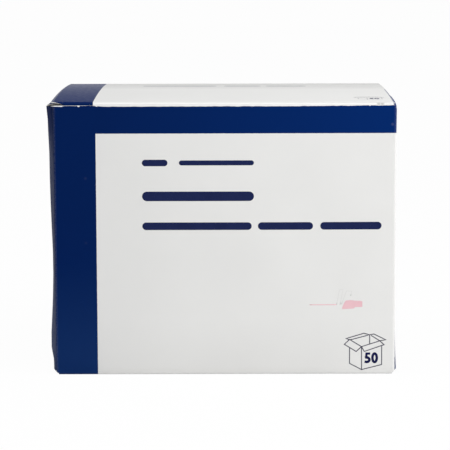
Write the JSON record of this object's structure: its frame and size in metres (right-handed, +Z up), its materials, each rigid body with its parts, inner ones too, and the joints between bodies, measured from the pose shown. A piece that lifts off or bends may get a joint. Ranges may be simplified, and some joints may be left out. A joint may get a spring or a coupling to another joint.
{
  "type": "folding carton of needle packs",
  "caption": "Folding carton with a hinged tuck-in lid, full of sealed safety needle packs standing on end.",
  "frame": {"origin": "on the floor, at the middle of the carton's flat base", "axes": "+X to the right as seen from the front, +Y from the front panel to the back, +Z up"},
  "size_m": [0.1886, 0.1369, 0.1455],
  "materials": {
    "carton_board": "satin",
    "lid_board": "satin",
    "pack_film": "satin"
  },
  "bodies": {
    "carton": {"carton": "carton_board", "unit_pack_01": "pack_film", "unit_pack_02": "pack_film", "unit_pack_03": "pack_film", "unit_pack_04": "pack_film", "unit_pack_05": "pack_film", "unit_pack_06": "pack_film", "unit_pack_07": "pack_film", "unit_pack_08": "pack_film", "unit_pack_09": "pack_film", "unit_pack_10": "pack_film", "unit_pack_11": "pack_film", "unit_pack_12": "pack_film", "unit_pack_13": "pack_film", "unit_pack_14": "pack_film", "unit_pack_15": "pack_film", "unit_pack_16": "pack_film", "unit_pack_17": "pack_film", "unit_pack_18": "pack_film", "unit_pack_19": "pack_film", "unit_pack_20": "pack_film", "unit_pack_21": "pack_film", "unit_pack_22": "pack_film", "unit_pack_23": "pack_film", "unit_pack_24": "pack_film", "unit_pack_25": "pack_film", "unit_pack_26": "pack_film", "unit_pack_27": "pack_film", "unit_pack_28": "pack_film", "unit_pack_29": "pack_film", "unit_pack_30": "pack_film", "unit_pack_31": "pack_film", "unit_pack_32": "pack_film", "unit_pack_33": "pack_film", "unit_pack_34": "pack_film", "unit_pack_35": "pack_film", "unit_pack_36": "pack_film", "unit_pack_37": "pack_film", "unit_pack_38": "pack_film", "unit_pack_39": "pack_film", "unit_pack_40": "pack_film", "unit_pack_41": "pack_film", "unit_pack_42": "pack_film", "unit_pack_43": "pack_film", "unit_pack_44": "pack_film", "unit_pack_45": "pack_film", "unit_pack_46": "pack_film", "unit_pack_47": "pack_film", "unit_pack_48": "pack_film", "unit_pack_49": "pack_film", "unit_pack_50": "pack_film"},
    "lid": {"lid": "lid_board"}
  },
  "joints": [
    {"name": "lid_hinge", "type": "hinge", "parent": "carton", "child": "lid", "pos_m": [0, 0.0672, 0.1436], "axis": [-1, 0, 0], "range_deg": [0, 180]}
  ]
}
